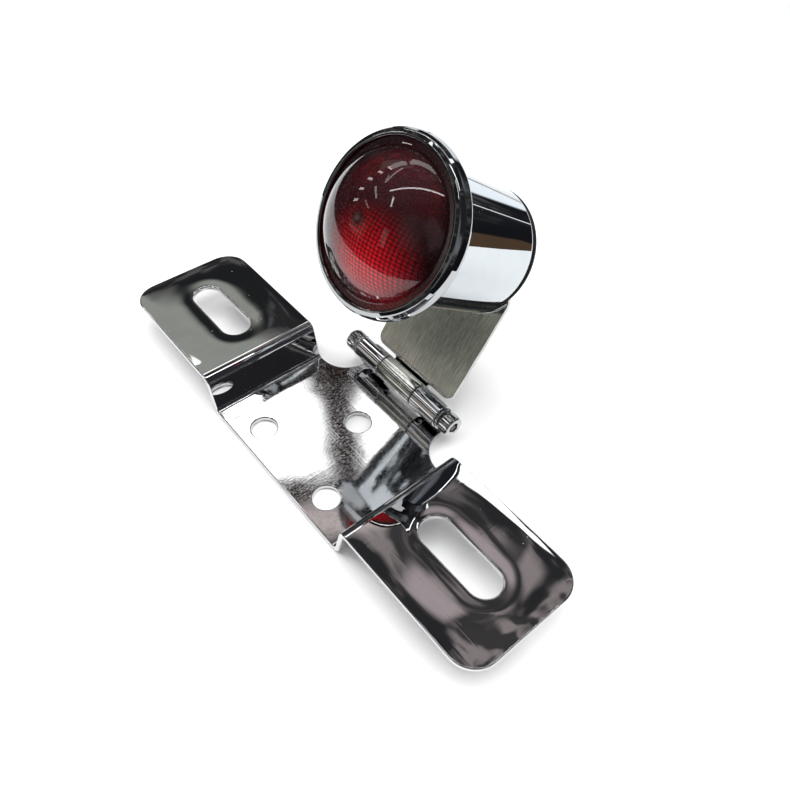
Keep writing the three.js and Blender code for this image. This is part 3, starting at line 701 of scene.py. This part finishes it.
def leaf():
    """The leaf from the middle knuckle to its round end behind the lamp."""
    sweep = leaf_roll.knots[-1]
    rows = spread([-sweep, 0, LEAF_START], [0.35, 1.0])
    low_corner, high_corner = LEAF_LOW_CORNER, LEAF_HIGH_CORNER
    right = [(BARREL_HALF, v) for v in rows[1:-1] if v < LEAF_START - 1.3]
    right += arc(BARREL_HALF + 1, LEAF_START - 1, 1.0, 180, 90, 4)
    right += line((BARREL_HALF + 1, LEAF_START), (LEAF_HALF - low_corner, LEAF_START), 1.5)[1:]
    right += arc(LEAF_HALF - low_corner, LEAF_START + low_corner, low_corner, -90, 0, 12)
    right += line((LEAF_HALF, LEAF_START + low_corner), (LEAF_HALF, LEAF_SHOULDER - high_corner), 2.0)[1:]
    shoulder = arc(LEAF_HALF - high_corner, LEAF_SHOULDER - high_corner, high_corner, 0, 90, 24)
    right += [p for p in shoulder if math.hypot(p[0], p[1] - LEAF_LAMP) > LEAF_DISC + 0.3]
    first = math.degrees(math.atan2(right[-1][1] + 1.2 - LEAF_LAMP, right[-1][0]))
    right += arc(0, LEAF_LAMP, LEAF_DISC, first, 90, 40)
    left = [(-x, y) for x, y in reversed(right[:-1])]
    outer = line((-BARREL_HALF, -sweep), (BARREL_HALF, -sweep), 1.5) + [(BARREL_HALF, -sweep)] + right + left
    holes = [arc(x, LEAF_LAMP, r, 0, 360, 32)[:-1][::-1] for x, r in LEAF_HOLES]
    inner = [(s, t) for s in np.arange(-LEAF_HALF + 1, LEAF_HALF, 2) for t in np.arange(1, LEAF_LAMP + LEAF_DISC, 2)]
    inner += [(s, t) for s in np.arange(-BARREL_HALF + 1, BARREL_HALF, 1.5) for t in rows]
    sheet("lamp_bracket_leaf", [outer] + holes, inner, leaf_place, LEAF, "lamp", ["lamp_bracket"], edge=0.3)


bracket()
leaf()


# -------------------------------------------------------- hinge hardware
def socket_screw(side):
    """Knurled cap head with a hexagon socket, on a plain shank."""
    radius, length, key, depth, shank = 4.25, 5.0, 4.0, 2.6, 2.45
    start = SCREW_SEAT
    end = start + length
    teeth = 22
    count = teeth * 6

    def knurl(scale):
        def r(a):
            wave = abs(((a * teeth / TAU) % 1) * 2 - 1)
            return radius - scale * 0.45 * (1 - min(wave * 1.5, 1.0))
        return r

    hex_hole = hexagon(key)
    rings = [[(0, 0, 2.8)], ring(shank - 0.4, 2.8, count), ring(shank, 3.2, count), ring(shank, start, count),
             ring(radius - 0.35, start, count), ring(radius - 0.15, start + 0.2, count)]
    rings += [ring(knurl(0), start + 0.5, count), ring(knurl(1), start + 0.8, count), ring(knurl(1), end - 1.0, count),
              ring(knurl(0), end - 0.7, count)]
    rings += [ring(radius - 0.15 - 0.45 * (1 - math.cos(a)), end - 0.55 + 0.55 * math.sin(a), count)
              for a in (0.3, 0.7, 1.1, 1.5)]
    rings += [ring(lambda a: hex_hole(a) + 0.25, end - 0.02, count), ring(hex_hole, end - 0.25, count),
              ring(hex_hole, end - depth, count), [(0, 0, end - depth - 0.6)]]
    loft(f"hinge_socket_screw_{side}", rings, SCREWS[side], "lamp", [f"hinge_screw_{side}"], sharp=35)


def spring_washer(side):
    """A split ring, its two ends a little apart."""
    inner, outer, lift, gap = 2.9, 4.6, 0.24, math.radians(9)
    low, high = SCREW_SEAT - GAP - WASHER, SCREW_SEAT - GAP
    foot, head = low + lift / 2, high - lift / 2
    section = rounded([(inner, foot), (outer, foot), (outer, head), (inner, head)], 0.25, 3)
    middle, height = (inner + outer) / 2, (low + high) / 2
    first, last = ([(middle * math.cos(a), middle * math.sin(a), height + rise)]
                   for a, rise in ((gap / 2, -lift / 2), (-gap / 2, lift / 2)))
    loft(f"hinge_spring_washer_{side}", [first] + split_ring(section, gap, 64, lift) + [last], SCREWS[side], "lamp",
         [f"hinge_washer_{side}"], sharp=40)


for side in ("right", "left"):
    socket_screw(side)
    spring_washer(side)


# -------------------------------------------------------- lamp body
PAD = 1.0
HOUSING_R, HOUSING_WALL, HOUSING_REAR = 23.4, 1.4, PAD + 2 * GAP
LAMP_LENGTH = 57.3
FLANGE_TOP = LAMP_LENGTH - 4.7
LENS_SEAT, LENS_FACE = FLANGE_TOP + 1.7, LAMP_LENGTH - 1.2
DOME_R, DOME_H, LENS_WALL, LENS_R = 24.4, 14.5, 2.2, 27.4
BALL = (DOME_R ** 2 + DOME_H ** 2) / (2 * DOME_H)
BALL_Z = LENS_FACE + DOME_H - BALL
OPENING_R, BEZEL_R = 26.4, 30.0

housing_inner = HOUSING_R - HOUSING_WALL
housing_floor = HOUSING_REAR + HOUSING_WALL
turned("lamp_housing_shell", rounded([
    (4.0, HOUSING_REAR), (HOUSING_R, HOUSING_REAR), (HOUSING_R, FLANGE_TOP - 3.4), (HOUSING_R + 3.8, FLANGE_TOP - 1),
    (HOUSING_R + 3.8, FLANGE_TOP), (housing_inner, FLANGE_TOP), (housing_inner, housing_floor), (4.0, housing_floor)],
    [0.2, 2.5, 0.6, 0.3, 0.3, 0.3, 1.1, 0.2], 10), LAMP, "lamp", ["lamp_housing"], count=256)

TOP = LAMP_LENGTH
# from the opening down the wide slope and the skirt inside, then up the outside to the rolled rim
bezel_profile = rounded([
    (OPENING_R, TOP - 0.9), (OPENING_R + 1.4, TOP - 0.9), (BEZEL_R - 1.2, TOP - 2.9), (BEZEL_R - 1.2, TOP - 3.9),
    (BEZEL_R - 2.2, TOP - 5.6), (HOUSING_R + 0.7, TOP - 8.8), (HOUSING_R + 0.8, TOP - 9.6),
    (HOUSING_R + 1.5, TOP - 9.7), (BEZEL_R - 1.2, TOP - 6.9), (BEZEL_R, TOP - 4.7), (BEZEL_R - 0.5, TOP - 2.0),
    (OPENING_R + 2.2, TOP - 0.5), (OPENING_R + 0.8, TOP), (OPENING_R + 0.1, TOP - 0.25)],
    [0.2, 0.3, 0.5, 0.6, 1.5, 0.2, 0.15, 0.4, 2.6, 2.0, 2.0, 1.0, 0.6, 0.3], 8)
bezel = turned("lens_bezel", bezel_profile, LAMP, "lamp", ["bezel"], count=256)
# The bezel's chrome is a darker copy of the lamp's chrome: painted shade standing in for the dark reflections round the
# bezel.
bezel.data.materials[0] = material("bezel_chrome", (0.4, 0.42, 0.43), 1.0,
                                   chrome_detail((0.44, 0.46, 0.47), (0.34, 0.35, 0.36), 0.012, 0.00002, 0.3))

low, high = FLANGE_TOP + GAP, LENS_SEAT - GAP
gasket = rounded([(23, low), (27.2, low), (27.2, high), (23, high)], 0.25, 3)
turned("lens_gasket_ring", gasket, LAMP, "lamp", ["lens_gasket"], count=96)
pad_top = GAP + PAD
pad_r = HOUSING_R - 0.2
turned("lamp_rear_pad", rounded([(4.0, GAP), (pad_r, GAP), (pad_r, pad_top), (4.0, pad_top)], 0.3, 4), LAMP, "lamp",
       ["rear_pad"], count=160)


def red_lens():
    """Smooth dome with a flat flange outside; inside the dome a lattice of small prisms."""
    count = 192
    outside = rounded([(LENS_R, LENS_SEAT), (LENS_R, LENS_FACE), (DOME_R + 0.3, LENS_FACE)], [0.3, 0.3, 0.0], 4,
                      closed=False)
    base_angle = math.degrees(math.asin((LENS_FACE + 0.15 - BALL_Z) / BALL))
    dome = arc(0, BALL_Z, BALL, base_angle, 90, 30)
    rings = [ring(r, z, count) for r, z in [(LENS_R, LENS_SEAT)] + outside[1:] + dome[:-1]] + [[(0, 0, dome[-1][1])]]
    verts, faces = skin(rings)
    outside_faces = len(faces)

    # the inner skin: rows up the wall of the dome, then the prism lattice over its crown
    inner_ball = BALL - LENS_WALL
    pitch, relief, edge_r, gate_r = PRISM_PITCH, 0.4, 21.6, 1.9

    def inner_height(x, y):
        return BALL_Z + math.sqrt(inner_ball ** 2 - x * x - y * y)

    seat_r = math.sqrt(inner_ball ** 2 - (LENS_SEAT - BALL_Z) ** 2)
    wall = [(seat_r, LENS_SEAT)]
    for i in range(1, 5):
        r = seat_r + (edge_r - seat_r) * i / 4
        wall.append((r, inner_height(r, 0)))
    below = 0
    for r, z in wall:
        start = len(verts)
        verts.extend(ring(r, z, count))
        for i in range(count):
            j = (i + 1) % count
            faces.append((below + j, below + i, start + i, start + j))
        below = start
    rim = [Vector(p[:2]) for p in ring(edge_r, 0, count)]
    lattice, peaks = [], set()
    reach = int(edge_r / pitch) + 1
    for i in range(-reach, reach + 1):
        for j in range(-reach, reach + 1):
            for half in (0, 0.5):
                p = Vector(((i + half) * pitch, (j + half) * pitch))
                if p.length < edge_r - 0.5:
                    if half and p.length > gate_r:
                        peaks.add(len(lattice))
                    lattice.append(p)
    points = lattice + rim
    base = len(lattice)
    edges = [(base + i, base + (i + 1) % count) for i in range(count)]
    flat, _, cells, origin, _, _ = delaunay_2d_cdt(points, edges, [], 1, 1e-7)
    number = {}
    for i, p in enumerate(flat):
        known = origin[i][0]
        if known >= base:
            number[i] = below + known - base
            verts[number[i]] = (p.x, p.y, inner_height(p.x, p.y))
        else:
            number[i] = len(verts)
            verts.append((p.x, p.y, inner_height(p.x, p.y) - (relief if known in peaks else 0.0)))
    for f in cells:
        a, b, c = (flat[i] for i in f)
        order = f if (b - a).cross(c - a) < 0 else f[::-1]
        faces.append(tuple(number[i] for i in order))
    lens = make("red_prism_lens", verts, faces, LAMP, "lamp", ["lens"], sharp=14)
    # this material carries the glow and shade painted on the prisms
    lens.data.materials.append(material("red_lens_prisms_painted_glow", (0.5, 0.01, 0.02), 0.0, prism_detail_painted_glow, IOR=1.49))
    for k, face in enumerate(lens.data.polygons):
        face.material_index = int(k >= outside_faces)


red_lens()

SOCKET_R, SOCKET_TOP = 8.6, 28.0
mouth, neck = housing_inner - GAP, SOCKET_R + 0.8
REFLECTOR_WALL, BOWL_STEPS = 0.8, 24
bowl_low = SOCKET_TOP - 1.5
bowl = [(neck + (mouth - neck) * f, bowl_low + (FLANGE_TOP - REFLECTOR_WALL - bowl_low) * f * f)
        for f in (i / BOWL_STEPS for i in range(BOWL_STEPS + 1))]
bowl += [(r, z + REFLECTOR_WALL) for r, z in reversed(bowl)]
turned("lamp_reflector", bowl, LAMP, "lamp", ["reflector"], count=160)

# -------------------------------------------------------- bulb
GLASS_R, GLASS_Z, GLASS_WALL = 12.5, 45.0, 0.6
NECK_R, NECK_LOW = 6.7, 22.0
start_angle = -math.degrees(math.acos(NECK_R / GLASS_R))
inner_r = GLASS_R - GLASS_WALL
inner_angle = -math.degrees(math.acos((NECK_R - GLASS_WALL) / inner_r))
glass = [(NECK_R - GLASS_WALL, NECK_LOW), (NECK_R, NECK_LOW)] + arc(0, GLASS_Z, GLASS_R, start_angle, 90, 28)[:-1]
glass_inside = arc(0, GLASS_Z, inner_r, 90, inner_angle, 28)[1:]
glass_rings = [ring(r, z, 96) for r, z in glass] + [[(0, 0, GLASS_Z + GLASS_R)], [(0, 0, GLASS_Z + inner_r)]]
glass_rings += [ring(r, z, 96) for r, z in glass_inside]
loft("bulb_envelope", glass_rings, LAMP, "bulb", ["bulb_glass"], sharp=40, closed=True)


# -------------------------------------------------------- fasteners behind the leaf
def nut(k, place):
    """Hexagon nut, its corners chamfered by two cones."""
    across, count = 8.0, 96
    high = -SHEET - 2 * GAP - LOCK_WASHER
    low = high - NUT_HEIGHT
    full = hexagon(across)

    def cut(r):
        return lambda a: min(full(a) - 0.05, r)

    corner = across / math.sqrt(3)
    profile = [(cut(3.85), low), (cut(4.15), low + 0.12), (cut(corner - 0.12), low + 0.45), (cut(corner), low + 0.7),
               (cut(corner), high - 0.7), (cut(corner - 0.12), high - 0.45), (cut(4.15), high - 0.12),
               (cut(3.85), high), (3.0, high), (2.75, high - 0.25), (2.75, low + 0.25), (3.0, low)]
    rings = [ring(r, z, count) for r, z in profile]
    loft(f"lamp_mount_nut_{k}", rings, place, "lamp", [f"mount_nut_{k}"], closed=True, sharp=35)


def threaded_bolt(k, place):
    """Round head inside the lamp, shank through the leaf, and a thread behind it."""
    count, pitch, deep, shank, under = 48, 0.8, 0.42, 2.38, 4.9
    end = -SHEET - 2 * GAP - LOCK_WASHER - NUT_HEIGHT - 1.0
    rings = [[(0, 0, end)], ring(shank - 0.7, end, count)]

    def thread(z):
        start = min((z - end) / 0.6, 1.0)
        return lambda a: shank - deep * (1 - start) - deep * abs(((z / pitch - a / TAU) % 1) * 2 - 1)

    z = end + 0.15
    while z < -SHEET - 0.2:
        rings.append(ring(thread(z), z, count))
        z += pitch / 8
    head = [(shank, -SHEET), (shank, under), (4.2, under), (4.2, under + 1.5), (3.8, under + 2.2), (2.6, under + 2.75)]
    rings += [ring(r, z, count) for r, z in head] + [[(0, 0, under + 2.9)]]
    loft(f"lamp_mount_bolt_{k}", rings, place, "lamp", [f"mount_bolt_{k}"], sharp=50)


def lock_ring(k, place):
    """Split lock washer under a nut."""
    low, high = -SHEET - GAP - LOCK_WASHER, -SHEET - GAP
    section = rounded([(2.75, low), (4.3, low), (4.3, high), (2.75, high)], 0.2, 3)
    gap = math.radians(10)
    first, last = ([(3.5 * math.cos(a), 3.5 * math.sin(a), (low + high) / 2)] for a in (gap / 2, -gap / 2))
    loft(f"lamp_lock_washer_{k}", [first] + split_ring(section, gap, 56) + [last], place, "lamp",
         [f"mount_lock_washer_{k}"], sharp=40)


for k, x in ((1, -BOLT_X), (2, BOLT_X)):
    place = LAMP @ Matrix.Translation((x * MM, 0, 0))
    nut(k, place)
    threaded_bolt(k, place)
    lock_ring(k, place)

# the contact springs, copied from the model to ride on the lamp
for k in (1, 2):
    node = frame["nodes"][f"contact_spring_{k}"]
    coil = add_object(f"plunger_coil_{k}", node.data.copy())
    coil.matrix_world = node.matrix_world.copy()
    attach(coil, "lamp")
    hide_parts(node.name)
    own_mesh(coil)

back, front = -SHEET - GAP, housing_floor + GAP
turned("lamp_wire_grommet", rounded([
    (2.4, back - 1.2), (5.2, back - 1.2), (5.4, back), (3.7, back), (3.7, front), (5.4, front), (5.0, front + 1.2),
    (2.4, front + 1.2)], [0.4, 0.5, 0.15, 0.15, 0.15, 0.15, 0.5, 0.4], 5), LAMP, "lamp", ["wire_grommet"], count=72)


# -------------------------------------------------------- camera
CAMERA_PLACE = Vector((0.14303, -0.09315, 0.22472))
CAMERA_TARGET = Vector((0.01633, 0.01951, 0.03))
CAMERA_ROLL = math.radians(2.609)
camera = add_object("camera", bpy.data.cameras.new("camera"))
camera.data.sensor_width = 36.0
camera.data.lens = 33.13
camera.data.clip_start = 0.01
camera.location = CAMERA_PLACE
look = (CAMERA_TARGET - CAMERA_PLACE).to_track_quat("-Z", "Y").to_matrix()
camera.rotation_euler = (look @ Matrix.Rotation(CAMERA_ROLL, 3, "Z")).to_euler()
bpy.context.scene.camera = camera

# -------------------------------------------------------- floor
FLOOR_R, FLOOR_X, FLOOR_Y, FLOOR_Z, FLOOR_POINTS = 0.42, -0.23, 0.12, -0.0004, 128
floor_mesh = bpy.data.meshes.new("floor")
floor_mesh.from_pydata([(x + FLOOR_X, y + FLOOR_Y, z) for x, y, z in ring(FLOOR_R, FLOOR_Z, FLOOR_POINTS)], [],
                       [tuple(range(FLOOR_POINTS))])
floor = add_object("floor", floor_mesh)
paper = bpy.data.materials.new("white_paper")
paper.use_nodes = True
paper_inputs = paper.node_tree.nodes["Principled BSDF"].inputs
paper_inputs["Base Color"].default_value = (0.93, 0.93, 0.93, 1)
paper_inputs["Roughness"].default_value = 0.9
paper_inputs["Specular IOR Level"].default_value = 0.1
floor_mesh.materials.append(paper)

# -------------------------------------------------------- studio: a dark room with soft white panels
world = bpy.data.worlds.new("studio")
bpy.context.scene.world = world
world.use_nodes = True
w = Nodes(world.node_tree)
direction = w.add("ShaderNodeTexCoord", 0)


def heading(azimuth, elevation):
    a, e = math.radians(azimuth), math.radians(elevation)
    return Vector((math.cos(a) * math.cos(e), math.sin(a) * math.cos(e), math.sin(e)))


def panel(below, azimuth, elevation, width, height, colour, soft, roll=0.0):
    """A soft-edged rectangle in the room; angles in degrees, sizes are half sizes."""
    out = heading(azimuth, elevation)
    side = out.cross(Vector((0, 0, 1))).normalized()
    up = side.cross(out)
    turn = math.radians(roll)
    side, up = side * math.cos(turn) + up * math.sin(turn), up * math.cos(turn) - side * math.sin(turn)
    facing = w.measure("DOT_PRODUCT", direction, out)
    ahead = w.math("MAXIMUM", facing, 0.001)
    mask = w.math("GREATER_THAN", facing, 0.05)
    for axis, size in ((side, width), (up, height)):
        run = w.math("ABSOLUTE", w.math("DIVIDE", w.measure("DOT_PRODUCT", direction, axis), ahead))
        inner, outer = math.tan(math.radians(max(size - soft, 0.01))), math.tan(math.radians(size + soft))
        mask = w.math("MULTIPLY", mask, w.ramp(run, inner, outer, 1.0, 0.0))
    return w.mix(mask, below, colour)


def grey(level):
    return (level, level, level)


tilt = w.add("ShaderNodeSeparateXYZ", 2, Vector=direction)
streaks = w.noise(direction, 30.0, 1.5, 0.5, stretch=(0.3, 1.0, 1.0))
broad = w.noise(direction, 7.0, 2.0, 0.5)
lit = w.math("MULTIPLY", w.ramp(streaks, 0.42, 0.58, 0.1, 1.0), w.ramp(broad, 0.42, 0.58))
wing_room = w.mix(lit, (0.03, 0.031, 0.033), (0.32, 0.28, 0.28))
room = w.mix(lit, (0.02, 0.021, 0.023), (0.12, 0.115, 0.115))
room = w.mix(w.ramp(tilt, -0.1, 0.05), (0.012, 0.012, 0.015), room)
# azimuth, elevation, half width, half height, colour, softness and roll, each laid over those before it
PANELS = [
    # wide panels all round, for the back, the ends and the top
    (-5, 28, 11, 18, (0.3, 0.31, 0.33), 6),
    (-42, 35, 13, 20, (0.22, 0.22, 0.23), 10),
    (76, 32, 7, 12, (0.3, 0.31, 0.33), 6),
    (-77, 20, 3, 11, (0.8, 0.8, 0.82), 2),
    (122, 3, 21, 12, (1.3, 1.34, 1.38), 1.5),
    (62, -19, 9, 9.5, (0.11, 0.065, 0.04), 0.5),
    (88, -3, 0.35, 4, grey(1.5), 0.2),
    (28, 31, 17, 17, (0.03, 0.03, 0.035), 3),
    (-118, 14, 12, 9, (0.34, 0.35, 0.3), 3),
    (-121, 15, 2.6, 4, (0.1, 0.1, 0.09), 2.4, -35),
    (-125, 18.5, 2.6, 2.4, (0.85, 0.88, 0.82), 2.0),
    (-121, 7, 8, 1.8, (0.75, 0.58, 0.55), 1.3),
    # the windows seen in the centre plate, the wings and along the dome
    (129, 64, 22, 10.5, wing_room, 1.5),
    (163.5, 45, 6, 10, (0.38, 0.4, 0.36), 1.4, -44),
    (149, 51.3, 12.5, 4.2, grey(2.6), 0.5),
    (120, 52.0, 14, 3.4, grey(2.6), 0.3, 9),
    (145, 51, 1.3, 4.6, (0.02, 0.01, 0.008), 0.8, -6),
    (145, 47.5, 2.6, 1.4, (0.02, 0.012, 0.01), 0.8),
    (150, 56.2, 7, 1.1, (0.03, 0.02, 0.018), 0.5),
    (150, 58.6, 6, 1.2, (0.75, 0.66, 0.64), 0.8),
    (129, 63.5, 2.6, 1.8, (0.5, 0.43, 0.44), 1.2, 20),
    (114, 61.3, 2.2, 1.2, (0.36, 0.31, 0.31), 0.8, 20),
    *((azimuth, elevation, 1.2, 3.4, (7.0, 6.6, 6.4), 0.4, roll)
      for azimuth, elevation, roll in ((171, 50, 10), (183, 45, 15), (194, 38, 22), (205, 31, 28), (215, 24, 30))),
    # narrow tubes, which draw the bright lines along the rolled knuckles
    (180, 61, 12, 1.0, grey(3.5), 0.3),
    (-165, 58, 5, 0.7, grey(2.5), 0.2),
    (-139, 49, 8, 1.2, grey(3.5), 0.3),
    (-128, 36, 6, 0.8, grey(2.5), 0.2),
    (124, 27, 6, 1.5, grey(1.4), 0.4),
    (50, 84, 1.0, 31, grey(12.0), 0.3),
    (-97, 62, 1.0, 6, grey(12.0), 0.3, -35),
]
for row in PANELS:
    room = panel(room, *row)
seen = w.add("ShaderNodeLightPath", 0)
room = w.mix(seen, room, (1.0, 1.0, 1.0))
background = w.add("ShaderNodeBackground", Color=room, Strength=1.0)
w.add("ShaderNodeOutputWorld", Surface=background)


def soft_light(name, place, size, power):
    """A round lamp aimed at the object, kept out of the reflections."""
    data = bpy.data.lights.new(name, "AREA")
    data.shape = "DISK"
    data.size = size
    data.energy = power
    light = add_object(name, data)
    light.location = place
    light.rotation_euler = (-Vector(place)).to_track_quat("-Z", "Y").to_euler()
    light.visible_glossy = False


soft_light("overhead", (0.1, 0.0, 1.3), 1.1, 15.5)
soft_light("left_fill", (-0.9, -0.5, 0.8), 0.8, 7.0)
soft_light("right_fill", (0.8, 0.7, 0.7), 0.8, 6.0)

bpy.context.scene.view_settings.view_transform = "Standard"
